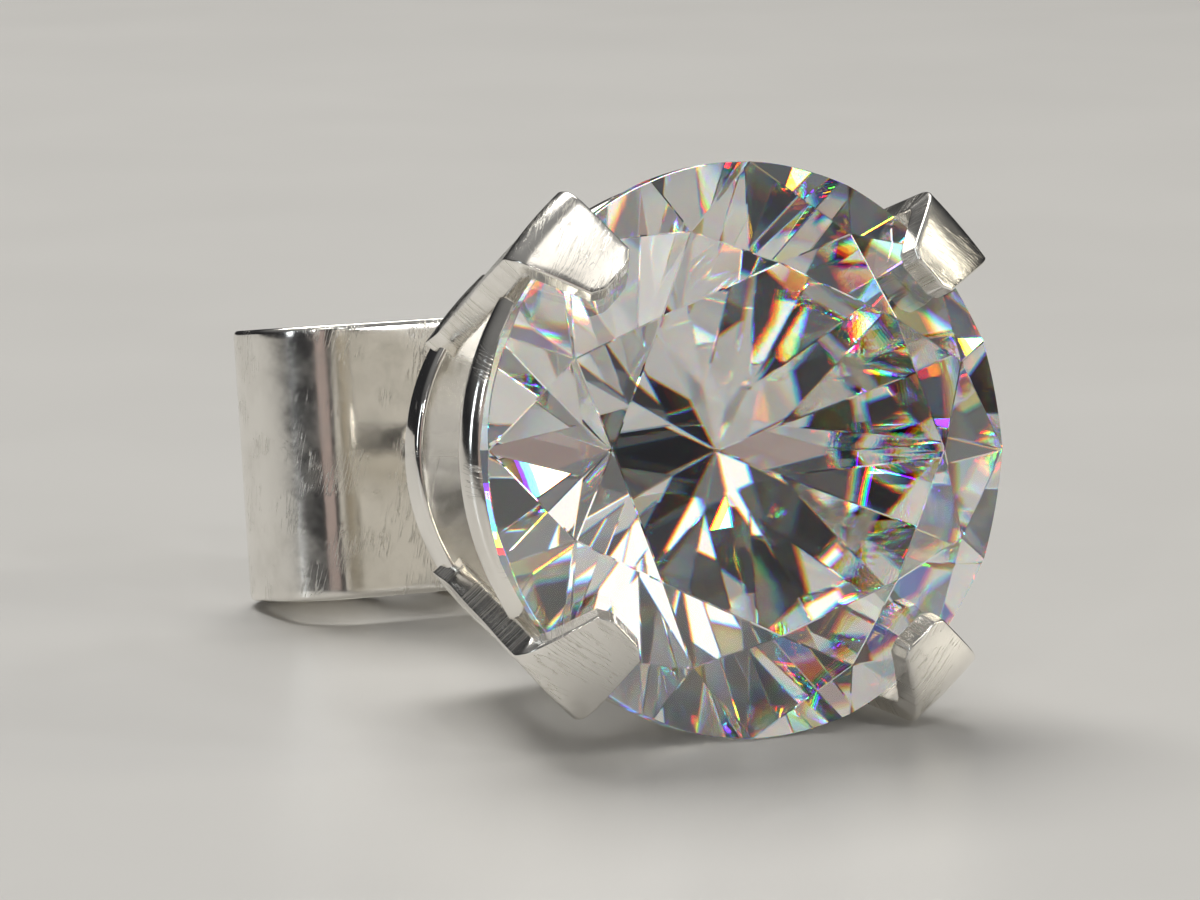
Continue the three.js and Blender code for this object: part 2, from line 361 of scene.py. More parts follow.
class NodeTree:
    """A short way to write shader nodes: each call adds a node, sets its inputs and returns its output."""

    def __init__(self, tree: ShaderNodeTree) -> None:
        """Keeps the tree that the nodes go into."""
        self.tree = tree

    @classmethod
    def blank(cls, owner: Material | World) -> "NodeTree":
        """The emptied tree of a new material or world."""
        owner.use_nodes = True
        owner.node_tree.nodes.clear()
        return cls(owner.node_tree)

    def put(self, socket: NodeSocket, value: object) -> None:
        """Links a socket, or sets a plain value on the input."""
        if isinstance(value, NodeSocket):
            self.tree.links.new(value, socket)
        elif value is not None:
            socket.default_value = value

    def node(self, kind: str, inputs: dict | None = None, **settings: object) -> Node:
        """Adds a node.

        Args:
            kind: the node's type name.
            inputs: socket names or numbers, each with a value or an output to link.
            **settings: properties of the node itself.

        Returns:
            The node.
        """
        made = self.tree.nodes.new(kind)
        for name, value in settings.items():
            setattr(made, name, value)
        for key, value in (inputs or {}).items():
            self.put(made.inputs[key], value)
        return made

    def math(self, operation: str, *values: object, clamp: bool = False) -> NodeSocket:
        """A Math node on numbers or outputs."""
        inputs = dict(enumerate(values))
        return self.node("ShaderNodeMath", inputs, operation=operation, use_clamp=clamp).outputs[0]

    def ramp(self, value: object, low: float, high: float) -> NodeSocket:
        """A value eased from 0 at low to 1 at high."""
        inputs = {"Value": value, "From Min": low, "From Max": high}
        return self.node("ShaderNodeMapRange", inputs, interpolation_type="SMOOTHSTEP").outputs[0]

    def mixed(self, share: object, first: object, second: object) -> NodeSocket:
        """A colour between two colours."""
        inputs = {"Factor": share, "A": first, "B": second}
        return self.node("ShaderNodeMix", inputs, data_type="RGBA").outputs["Result"]

    def noise(self, vector: object, scale: object, detail: float, roughness: float = 0.5) -> NodeSocket:
        """A noise texture's value."""
        inputs = {"Vector": vector, "Scale": scale, "Detail": detail, "Roughness": roughness}
        return self.node("ShaderNodeTexNoise", inputs).outputs[0]

    def mapped(self, vector: object, scale: float = 1.0, turn: float = 0.0) -> NodeSocket:
        """A vector scaled and turned about z by degrees."""
        inputs = {"Vector": vector, "Scale": (scale,) * 3, "Rotation": (0, 0, math.radians(turn))}
        return self.node("ShaderNodeMapping", inputs, vector_type="POINT").outputs[0]

    def effect(self, group: ShaderNodeTree, values: dict) -> NodeSocket:
        """A shared effect's mask, the group placed with its own values."""
        return self.node("ShaderNodeGroup", values, node_tree=group).outputs["Mask"]


def mask_group(name: str, **values: float) -> tuple:
    """Makes an empty node group from a vector and named numbers to a mask.

    Args:
        name: of the group.
        **values: the numbers' names and defaults.

    Returns:
        A writer for its nodes, its input node's outputs and its output node's inputs.
    """
    group = bpy.data.node_groups.new(name, "ShaderNodeTree")
    group.interface.new_socket("Vector", in_out="INPUT", socket_type="NodeSocketVector")
    for key, default in values.items():
        socket = group.interface.new_socket(key, in_out="INPUT", socket_type="NodeSocketFloat")
        socket.default_value = default
    group.interface.new_socket("Mask", in_out="OUTPUT", socket_type="NodeSocketFloat")
    nodes = NodeTree(group)
    return nodes, nodes.node("NodeGroupInput").outputs, nodes.node("NodeGroupOutput").inputs


def hairline_group() -> ShaderNodeTree:
    """Fine scratches: thin bands where a stretched noise crosses its middle, broken up by a second noise.

    Returns:
        A group from a position in millimetres to a mask, 1 in a scratch.
    """
    nodes, given, wanted = mask_group("Hairlines", Spacing=6.0, Length=8.0, Width=0.03, Cover=0.5)
    parts = nodes.node("ShaderNodeSeparateXYZ", {0: given["Vector"]}).outputs
    shrunk = nodes.math("DIVIDE", parts[1], given["Length"])
    vector = nodes.node("ShaderNodeCombineXYZ", {0: parts[0], 1: shrunk, 2: parts[2]}).outputs[0]
    lines = nodes.noise(vector, given["Spacing"], detail=3.0)
    away = nodes.math("ABSOLUTE", nodes.math("SUBTRACT", lines, 0.5))
    band = nodes.math("SUBTRACT", 1.0, nodes.math("DIVIDE", away, given["Width"]), clamp=True)
    patches = nodes.noise(given["Vector"], scale=1.3, detail=2.0)
    covered = nodes.math("ADD", patches, nodes.math("SUBTRACT", given["Cover"], 1.0))
    kept = nodes.ramp(covered, low=0.0, high=0.12)
    nodes.put(wanted["Mask"], nodes.math("MULTIPLY", band, kept))
    return nodes.tree


def tarnish_and_shade_group() -> ShaderNodeTree:
    """Cloudy tarnish film plus painted shade in recesses, both taken off worn edges.

    Returns:
        A group from a position, recess and wear to a mask, 1 where the film and the painted shade are full.
    """
    nodes, given, wanted = mask_group("TarnishAndShade", Recess=0.0, Worn=0.0, Amount=0.5)
    cloud = nodes.noise(given["Vector"], scale=1.1, detail=5.0, roughness=0.6)
    # the recess input adds painted shade in hollows, on top of the tarnish that gathers there
    film_and_shade = nodes.math("ADD", nodes.ramp(cloud, low=0.42, high=0.72), given["Recess"])
    film_and_shade = nodes.math("MULTIPLY", film_and_shade, given["Amount"])
    film_and_shade = nodes.math("MULTIPLY", film_and_shade, nodes.math("SUBTRACT", 1.0, given["Worn"], clamp=True), clamp=True)
    nodes.put(wanted["Mask"], film_and_shade)
    return nodes.tree


class Polish(Enum):
    """How far a piece of silver has been worked, as the share of it that hairlines cover."""

    FILED = 0.60
    BRIGHT = 0.46
    STAMPED = 0.52


@dataclass(frozen=True)
class Marks:
    """A set of hairlines: its turn in degrees, how close, long and wide they are, and the cover they lack."""

    turn: float
    spacing: float
    length: float
    width: float
    missing: float = 0.0


@dataclass(frozen=True)
class SilverFinish:
    """Rhodium-bright silver: a warm white mirror with hairlines, soft unevenness, a little tarnish, and
    painted shade in recesses and hairlines.
    """

    name: str
    polish: Polish
    colour: tuple = (0.93, 0.905, 0.855, 1.0)
    # colour of the tarnish film, also used for the painted shade in recesses and hairlines
    film_and_shade_colour: tuple = (0.60, 0.56, 0.48, 1.0)
    roughness: float = 0.09
    film_roughness: float = 0.26
    smear_roughness: float = 0.07
    scratch_roughness: float = 0.18
    worn_smoothness: float = 0.03
    film_and_shade: float = 0.16
    unevenness: float = 0.16
    scratch_depth: float = 0.03
    # how far the hairlines are darkened in colour: painted shade in the scratches
    scratch_painted_shade: float = 0.35
    relief: float = 0.05 * MM
    filed: Marks = Marks(turn=76.0, spacing=16.0, length=14.0, width=0.030)
    rubbed: Marks = Marks(turn=25.0, spacing=9.0, length=9.0, width=0.016, missing=0.12)
    rubbed_strength: float = 0.5

    def material(self, groups: dict[str, ShaderNodeTree]) -> Material:
        """Builds the finish.

        Args:
            groups: the shared effects by name.

        Returns:
            The material.
        """
        made = bpy.data.materials.new(self.name)
        nodes = NodeTree.blank(made)
        here = nodes.mapped(nodes.node("ShaderNodeTexCoord").outputs["Object"], scale=1 / MM)
        strip = nodes.node("ShaderNodeUVMap", uv_map="along").outputs[0]
        worn = nodes.node("ShaderNodeAttribute", attribute_name="worn").outputs["Fac"]
        recess_tarnish_and_shade = nodes.node("ShaderNodeAttribute", attribute_name="recess_tarnish_and_shade").outputs["Fac"]

        def hairlines(place: NodeSocket, marks: Marks) -> NodeSocket:
            """One set of hairlines, as a mask."""
            values = {"Spacing": marks.spacing, "Length": marks.length, "Width": marks.width}
            values["Vector"] = nodes.mapped(place, turn=marks.turn)
            values["Cover"] = self.polish.value - marks.missing
            return nodes.effect(groups["hairlines"], values)

        rubbed = nodes.math("MULTIPLY", hairlines(here, self.rubbed), self.rubbed_strength)
        scratches = nodes.math("MAXIMUM", hairlines(strip, self.filed), rubbed)
        film_and_shade = {"Vector": here, "Recess": recess_tarnish_and_shade, "Worn": worn, "Amount": self.film_and_shade}
        film_and_shade_mask = nodes.effect(groups["tarnish_and_shade"], film_and_shade)

        # the base colour is darkened by tarnish and painted shade in recesses, and by painted shade in the
        # hairlines
        painted_shade_and_tarnish = nodes.math("MAXIMUM", film_and_shade_mask, nodes.math("MULTIPLY", scratches, self.scratch_painted_shade))
        colour = nodes.mixed(painted_shade_and_tarnish, self.colour, self.film_and_shade_colour)
        smear = nodes.ramp(nodes.noise(here, scale=2.2, detail=4.0, roughness=0.6), low=0.35, high=0.75)
        rough = nodes.math("ADD", self.roughness, nodes.math("MULTIPLY", smear, self.smear_roughness))
        rough = nodes.math("ADD", rough, nodes.math("MULTIPLY", scratches, self.scratch_roughness))
        rough = nodes.math("ADD", rough, nodes.math("MULTIPLY", film_and_shade_mask, self.film_roughness - self.roughness))
        rough = nodes.math("SUBTRACT", rough, nodes.math("MULTIPLY", worn, self.worn_smoothness), clamp=True)

        waves = nodes.noise(here, scale=1.6, detail=3.0, roughness=0.45)
        cuts = nodes.math("MULTIPLY", scratches, self.scratch_depth)
        height = nodes.math("SUBTRACT", nodes.math("MULTIPLY", waves, self.unevenness), cuts)
        bump = nodes.node("ShaderNodeBump", {"Strength": 0.8, "Distance": self.relief, "Height": height})
        shader = nodes.node(
            "ShaderNodeBsdfPrincipled",
            {"Base Color": colour, "Metallic": 1.0, "Roughness": rough, "Normal": bump.outputs[0]},
        )
        nodes.node("ShaderNodeOutputMaterial", {"Surface": shader.outputs[0]})
        return made


@dataclass(frozen=True)
class StoneFinish:
    """Colourless cubic zirconia: a clear, strongly bending glass that parts the light into colours.

    Light that enters is shared between bands, each bent a little differently. Inside, it keeps one index.
    """

    name: str = "cubic_zirconia"
    index: float = 2.17
    spread: float = 0.065
    bands: tuple = (
        (-1.0, (2.5, 0.0, 0.0, 1.0)),
        (-0.5, (1.9, 1.1, 0.0, 1.0)),
        (0.0, (0.2, 2.4, 0.2, 1.0)),
        (0.5, (0.0, 1.5, 1.9, 1.0)),
        (1.0, (0.4, 0.0, 2.9, 1.0)),
    )

    def material(self) -> Material:
        """Builds the finish.

        Returns:
            The material.
        """
        made = bpy.data.materials.new(self.name)
        nodes = NodeTree.blank(made)
        plain = nodes.node(
            "ShaderNodeBsdfPrincipled",
            {"Base Color": (1, 1, 1, 1), "Roughness": 0.0, "IOR": self.index, "Transmission Weight": 1.0},
        )
        parted = None
        for count, (shift, colour) in enumerate(self.bands, start=1):
            inputs = {"Color": colour, "Roughness": 0.0, "IOR": self.index + shift * self.spread}
            band = nodes.node("ShaderNodeBsdfGlass", inputs).outputs[0]
            shared = {0: 1.0 / count, 1: parted, 2: band}
            parted = nodes.node("ShaderNodeMixShader", shared).outputs[0] if count > 1 else band
        inside = nodes.node("ShaderNodeLightPath").outputs["Ray Depth"]
        shader = nodes.node("ShaderNodeMixShader", {0: inside, 1: parted, 2: plain.outputs[0]})
        nodes.node("ShaderNodeOutputMaterial", {"Surface": shader.outputs[0]})
        return made


# ---- the stone


@dataclass(frozen=True)
class Brilliant:
    """The round brilliant: sizes in millimetres, slopes in degrees, ratios of the radius."""

    radius: float = 3.9975
    table_ratio: float = 0.64
    crown_slope: float = 32.0
    pavilion_slope: float = 41.0
    girdle: float = 0.3
    star_ratio: float = 0.53
    lower_ratio: float = 0.77
    turn: float = 1.0
    rim_steps: int = 14
    rounding: float = 0.012

    @property
    def table_radius(self) -> float:
        """Distance from the axis to the table's corners."""
        return self.radius * self.table_ratio

    @property
    def crown_height(self) -> float:
        """From the middle of the girdle to the table."""
        return self.girdle / 2 + (self.radius - self.table_radius) * math.tan(math.radians(self.crown_slope))

    def _ring(self, radius: float, eighths: np.ndarray, z: object) -> np.ndarray:
        """Points at a radius, at azimuths in eighths of a turn."""
        angle = eighths * np.pi / 4 + math.radians(self.turn)
        return np.stack([radius * np.cos(angle), radius * np.sin(angle), z + 0 * angle], axis=-1)

    def _side(self, slope_degrees: float, meet_radius: float) -> tuple[np.ndarray, np.ndarray]:
        """The meets and the rim on one side of the girdle, as if it were the front.

        The meets lie on both neighbouring mains, so their height is the mains' slope times the distance from
        the girdle to their foot on the main's own azimuth. Each half facet is a plane through a meet and
        two girdle corners, and the rim's height is where that plane cuts the round girdle.

        Args:
            slope_degrees: slope of the mains.
            meet_radius: distance from the axis to the points where two mains and two halves meet.

        Returns:
            (8, 3) meets and (16 rim_steps, 3) rim points.
        """
        slope = math.tan(math.radians(slope_degrees))
        half_girdle = self.girdle / 2
        meet_z = half_girdle + (self.radius - meet_radius * math.cos(math.pi / 8)) * slope
        meets = self._ring(meet_radius, np.arange(8) + 0.5, meet_z)
        quarter = math.cos(math.pi / 16)
        rise = (meet_z - half_girdle) / (quarter * (self.radius - meet_radius))
        step = np.arange(16 * self.rim_steps)
        from_middle = (step % self.rim_steps) / self.rim_steps - 0.5
        bulge = self.radius * (np.cos(from_middle * np.pi / 8) - quarter)
        rim = self._ring(self.radius, step / (2 * self.rim_steps), half_girdle - rise * bulge)
        return meets, rim

    def surface(self) -> Surface:
        """The facets: table, stars, mains and halves of the crown, girdle, and halves and mains behind it.

        Returns:
            The closed surface.
        """
        edge = self.table_radius * math.cos(math.pi / 8)
        star_radius = edge + self.star_ratio * (self.radius - edge)
        meets, rim = self._side(self.crown_slope, star_radius)
        back_meets, back_rim = self._side(self.pavilion_slope, self.radius * (1 - self.lower_ratio))
        back_meets[:, 2] *= -1
        back_rim[:, 2] *= -1
        depth = self.girdle / 2 + self.radius * math.tan(math.radians(self.pavilion_slope))
        table = self._ring(self.table_radius, np.arange(8), self.crown_height)
        points = np.vstack([table, meets, rim, back_meets, back_rim, [[0, 0, -depth]]])

        steps, around = self.rim_steps, len(rim)
        corner = np.arange(8)
        meet = corner + 8
        rim_at = 16
        back_meet = corner + rim_at + around
        back_at = rim_at + around + 8
        culet = np.full(8, back_at + around)
        run = np.arange(around)
        onward = np.roll(run, -1)
        main = 2 * corner * steps
        halves = (np.arange(16)[:, None] * steps + np.arange(steps + 1)) % around
        faces = [
            corner,
            *np.column_stack([corner, meet, np.roll(corner, -1)]),
            *np.column_stack([corner, np.roll(meet, 1), rim_at + main, meet]),
            *np.hstack([np.repeat(meet, 2)[:, None], rim_at + halves]),
            *np.column_stack([rim_at + run, back_at + run, back_at + onward, rim_at + onward]),
            *np.hstack([np.repeat(back_meet, 2)[:, None], back_at + halves]),
            *np.column_stack([culet, np.roll(back_meet, 1), back_at + main, back_meet]),
        ]
        return Surface(points, faces)

    def build(self, placement: Placement, finish: StoneFinish) -> None:
        """Makes the stone, its facet edges barely rounded as polishing leaves them.

        Args:
            placement: where the earring lies.
            finish: the stone's finish.
        """
        stone = to_mesh("brilliant_stone", self.surface())
        bevel = stone.modifiers.new("polished_edges", "BEVEL")
        bevel.width = self.rounding
        bevel.segments = 1
        bevel.limit_method = "ANGLE"
        bevel.angle_limit = math.radians(3.0)
        apply_modifiers(stone)
        place_piece(stone, placement.front, finish.material(), "stone", 0.5)


# ---- the setting


@dataclass(frozen=True)
class ClawShape:
    """How one claw was made: azimuth and lean in degrees, length over the crown, and width at its end."""

    azimuth: float
    lean: float
    reach: float
    tip_width: float


@dataclass(frozen=True)
class Basket:
    """The basket: four claws, the gallery wire under the girdle, and the base plate. Millimetres."""

    claws: tuple = (
        ClawShape(45.5, 3.0, 1.20, 0.84),
        ClawShape(138.5, -4.0, 1.22, 0.86),
        ClawShape(227.0, 2.0, 1.20, 0.90),
        ClawShape(312.5, -2.0, 1.22, 0.82),
    )
    gap: float = 0.1
    thickness: float = 0.38
    tip_thickness: float = 0.31
    width: float = 1.3
    foot_width: float = 1.1
    taper: float = 17.0
    fold_radius: float = 0.25
    tip_flat: float = 0.50
    tip_cut: float = 0.13
    thin_from: float = 0.3
    corner: float = 0.035
    dome: float = 0.02
    unevenness: float = 0.010
    sway: float = 0.012
    section_steps: tuple = (5, 12)
    foot_flare: float = 0.30
    flare_width: float = 0.13
    flare_height: float = 0.05
    gallery_radius: float = 3.55
    gallery_behind: float = 1.1
    gallery_wire: float = 0.2965
    solder_reach: float = 0.72
    solder_swell: float = 0.035
    base_radius: float = 3.0
    base_behind: float = 4.5
    base_thickness: float = 0.5
    base_edge: float = 0.1

    def _claw_line(self, stone: Brilliant, reach: float) -> tuple[np.ndarray, np.ndarray, np.ndarray]:
        """The claw's middle line: a straight stem, a fold on an arc, and a straight end above the crown.

        Args:
            stone: the stone that it holds.
            reach: length from the fold's corner to the end.

        Returns:
            Points as radius and z, headings, and each point's distance past the fold's corner.
        """
        lean, crown = math.radians(self.taper), math.radians(stone.crown_slope)
        half = self.thickness / 2
        stem = np.array([math.sin(lean), math.cos(lean)])
        claw = np.array([-math.cos(crown), math.sin(crown)])
        beside = np.array([stone.radius + self.gap + half / stem[1], 0.0])
        above = np.array([stone.radius, stone.girdle / 2]) + np.array([claw[1], -claw[0]]) * (self.gap + half)
        across = above - beside
        rise = (across[0] * claw[1] - across[1] * claw[0]) / (stem[0] * claw[1] - stem[1] * claw[0])
        corner = beside + stem * rise
        bend = math.acos(stem @ claw)
        setback = self.fold_radius * math.tan(bend / 2)
        start = corner - stem * setback
        centre = start + np.array([-stem[1], stem[0]]) * self.fold_radius
        length = (self.base_behind + self.base_thickness / 2) / stem[1] + start[1] / stem[1]

        stem_rows, fold_rows, body_rows, cut_rows, end_rows = 46, 15, 16, 5, 9
        down = np.linspace(length, 0.0, stem_rows)[:-1]
        angle = math.atan2(stem[1], stem[0]) + np.linspace(0, bend, fold_rows)
        fold_headings = np.column_stack([np.cos(angle), np.sin(angle)])
        fold_points = centre - self.fold_radius * np.column_stack([-fold_headings[:, 1], fold_headings[:, 0]])
        ease = 1 - np.cos(np.linspace(0, np.pi / 2, end_rows))
        body = np.linspace(setback, reach - self.tip_cut, body_rows)[1:]
        cut = reach - self.tip_cut + (self.tip_cut - self.corner) * np.linspace(0, 1, cut_rows)[1:]
        onward = np.r_[body, cut, reach - self.corner * ease[::-1][1:]]
        points = np.vstack([start - stem * down[:, None], fold_points, corner + claw * onward[:, None]])
        headings = np.vstack([np.tile(stem, (len(down), 1)), fold_headings, np.tile(claw, (len(onward), 1))])
        distance = np.r_[-setback - down, np.linspace(-setback, setback, fold_rows), onward]
        return points, headings, distance

    def claw_surface(self, stone: Brilliant, shape: ClawShape, seed: int) -> Surface:
        """One claw, with a flared foot where it is soldered, and its end cut, thinned and rounded.

        It is a strip along the claw's line. Its half width goes evenly from foot to fold to end, its outer
        face rises by a parabola and a low ripple, and its sideways shift grows evenly past the fold.

        Args:
            stone: the stone that it holds.
            shape: how this claw was bent.
            seed: picks its small unevenness.

        Returns:
            The closed surface, in the earring's axes.
        """
        points, headings, distance = self._claw_line(stone, shape.reach)
        foot = distance[0]
        cut_from = shape.reach - self.tip_cut
        up_stem = unit((distance - foot) / -foot)
        stem_width = self.foot_width + (self.width - self.foot_width) * up_stem
        over_width = self.width + (shape.tip_width - self.width) * unit(distance / cut_from)
        half_width = np.where(distance > 0, over_width, stem_width) / 2
        past = unit((distance - shape.reach + self.tip_cut) / self.tip_cut)
        half_width -= (shape.tip_width - self.tip_flat) / 2 * past
        inset = unit((distance - shape.reach + self.corner) / self.corner)
        shrink = self.corner * (1 - np.sqrt(1 - 0.999 * inset**2))
        flare = np.exp(-(((distance - foot) / self.foot_flare) ** 2))
        thinned = (self.tip_thickness - self.thickness) * eased(distance, self.thin_from, shape.reach)
        half_height = (self.thickness + thinned) / 2
        lift = self.thickness / 2 - half_height
        half_width += self.flare_width * flare - shrink
        half_height += self.flare_height * flare - shrink

        inward = np.column_stack([-headings[:, 1], headings[:, 0]])
        centres = points + inward * lift[:, None]
        radius = np.minimum(self.corner, 0.9 * np.minimum(half_width, half_height))
        strip = carried_strip(centres, headings, half_width, half_height, radius, self.section_steps)
        surface, width, height = strip

        phase = np.random.default_rng(seed).uniform(0, 2 * np.pi, 3)
        grid = surface.points.reshape(*width.shape, 3)
        outer = unit(-height / half_height[:, None])
        swell = self.dome * (1 - (width / half_width[:, None]) ** 2) * outer
        ripple = np.sin(2.3 * distance[:, None] + phase[0]) * np.sin(3.1 * width + phase[1])
        swell += self.unevenness * outer * ripple
        grid[..., ::2] -= inward[:, None, :] * swell[..., None]
        leaning = math.radians(shape.lean) * np.clip(distance, 0, None)
        grid[..., 1] += (self.sway * np.sin(1.7 * distance + phase[2]) + leaning)[:, None]

        edge = unit(1 - (half_height[:, None] - np.abs(height)) / 0.05)
        edge *= unit(1 - (half_width[:, None] - np.abs(width)) / 0.07)
        ending = eased(distance, shape.reach - 0.12, shape.reach)[:, None]
        worn = unit(edge + ending * 0.8)
        # recess: the face towards the stone and the soldered foot; the finish paints shade there as well as
        # tarnish
        inner = unit(height / half_height[:, None])
        recess_tarnish_and_shade = unit(0.5 * inner + 0.9 * flare[:, None]) * (1 - ending)
        turned_to = math.radians(shape.azimuth)
        cos, sin = math.cos(turned_to), math.sin(turned_to)
        spin = np.array([[cos, sin, 0], [-sin, cos, 0], [0, 0, 1]])
        points = grid.reshape(-1, 3) @ spin
        return Surface(points, surface.faces, surface.along, worn.ravel(), recess_tarnish_and_shade.ravel())

    def gallery_surface(self) -> Surface:
        """The gallery wire: a ring whose wire swells where the solder holds it to the claws.

        A point is the ring's circle plus the wire's radius about it. The wire's radius has a low hump, a
        bell curve of the azimuth's distance, at each claw.

        Returns:
            The closed surface.
        """
        around, sides = 220, 28
        azimuth = np.arange(around) * 2 * np.pi / around
        turn = np.arange(sides) * 2 * np.pi / sides
        hump = np.zeros(around)
        for claw in self.claws:
            off = np.angle(np.exp(1j * (azimuth - math.radians(claw.azimuth))))
            hump += np.exp(-((off * self.gallery_radius / self.solder_reach) ** 6))
        tube = self.gallery_wire + self.solder_swell * hump[:, None] * unit(np.cos(turn))
        radius = self.gallery_radius + tube * np.cos(turn)
        z = tube * np.sin(turn) - self.gallery_behind
        points = np.stack([radius * np.cos(azimuth)[:, None], radius * np.sin(azimuth)[:, None], z], axis=-1)
        quads = ring_quads(around + 1, sides) % (around * sides)
        lengths = np.broadcast_arrays(turn * self.gallery_wire, azimuth[:, None] * self.gallery_radius)
        along = np.stack(lengths, axis=-1).reshape(-1, 2)
        # recess: the whole wire, more at the solder joints; the finish paints shade there as well as tarnish
        recess_tarnish_and_shade = np.broadcast_to(0.35 + 0.55 * hump[:, None], tube.shape).ravel()
        return Surface(points.reshape(-1, 3), list(quads), along, np.zeros_like(recess_tarnish_and_shade), recess_tarnish_and_shade)

    def plate_surface(self) -> Surface:
        """The base plate, turned from a flat front, a rounded rim and a flat back.

        Returns:
            The closed surface.
        """
        r, edge = self.base_radius, self.base_edge
        front, back = -self.base_behind, -self.base_behind - self.base_thickness
        faces_r = np.linspace(0, r - edge, 24)
        profile = np.vstack([
            np.column_stack([faces_r, np.full_like(faces_r, front)]),
            arc((r - edge, front - edge), edge, 90, 0, 8)[1:],
            arc((r - edge, back + edge), edge, 0, -90, 8),
            np.column_stack([faces_r[::-1], np.full_like(faces_r, back)])[1:],
        ])
        surface = turned(profile, 128)
        radius = np.hypot(surface.points[:, 0], surface.points[:, 1])
        surface.worn = eased(radius, r - edge, r) * 0.9
        # recess: the whole face under the stone and a ring round the post; the finish paints shade there as
        # well as tarnish
        round_post = 0.35 * (1 - eased(radius, 0.5, 1.6))
        surface.recess_tarnish_and_shade = np.where(surface.points[:, 2] > front - edge / 2, 0.7, round_post)
        return surface

    def build(self, stone: Brilliant, placement: Placement, finish: Material, plain: Material) -> None:
        """Makes the claws, the gallery and the plate.

        Args:
            stone: the stone that they hold.
            placement: where the earring lies.
            finish: filed silver, for the claws.
            plain: bright silver, for the rest.
        """
        for number, shape in enumerate(self.claws, start=1):
            claw = to_mesh(f"claw_{number}", self.claw_surface(stone, shape, seed=number))
            place_piece(claw, placement.front, finish, "setting", 35)
        for name, surface in (("gallery_wire", self.gallery_surface()), ("base_plate", self.plate_surface())):
            place_piece(to_mesh(name, surface), placement.front, plain, "setting", 35)


@dataclass(frozen=True)
class Post:
    """The straight post with its solder fillet, its groove and its rounded end. Millimetres."""

    foot: float = 5.0
    rooted: float = 0.2
    radius: float = 0.45
    length: float = 9.998
    fillet: float = 0.3
    dome: float = 0.35
    groove_from_end: float = 1.4
    groove_width: float = 0.32
    groove_depth: float = 0.07

    def surface(self) -> Surface:
        """The post as a turned profile, from inside the plate to its end.

        Returns:
            The closed surface.
        """
        r = self.radius
        foot, end = -self.foot, -self.foot - self.length
        groove = end + self.groove_from_end
        fillet = arc((r + self.fillet, foot - self.fillet), self.fillet, 90, 180, 10)
        down = np.linspace(foot - self.fillet, groove + self.groove_width / 2, 60)
        dip = np.linspace(0, 1, 17)
        hollow = np.column_stack([
            r - self.groove_depth * np.sin(np.pi * dip) ** 0.8,
            groove + self.groove_width * (0.5 - dip),
        ])
        tip = arc((0, 0), 1, 0, -90, 14) * [r, self.dome] + [0, end + self.dome]
        tip[-1, 0] = 0
        inside = np.array([[0, foot + self.rooted], [r + self.fillet, foot + self.rooted]])
        shank = np.column_stack([np.full_like(down, r), down])
        profile = np.vstack([inside, fillet, shank[1:], hollow[1:], tip])
        surface = turned(profile, 64)
        z = surface.points[:, 2]
        # recess: the foot under the plate and the groove; the finish paints shade there as well as tarnish
        in_groove = np.exp(-(((z - groove) / 0.15) ** 2))
        surface.recess_tarnish_and_shade = unit(0.9 * eased(z, foot - 1.0, foot - 0.1) + 0.8 * in_groove)
        surface.worn = eased(-z, -end - self.dome, -end) * 0.6
        return surface

    def build(self, placement: Placement, finish: Material) -> None:
        """Makes the post."""
        place_piece(to_mesh("post", self.surface()), placement.front, finish, "setting", 40)


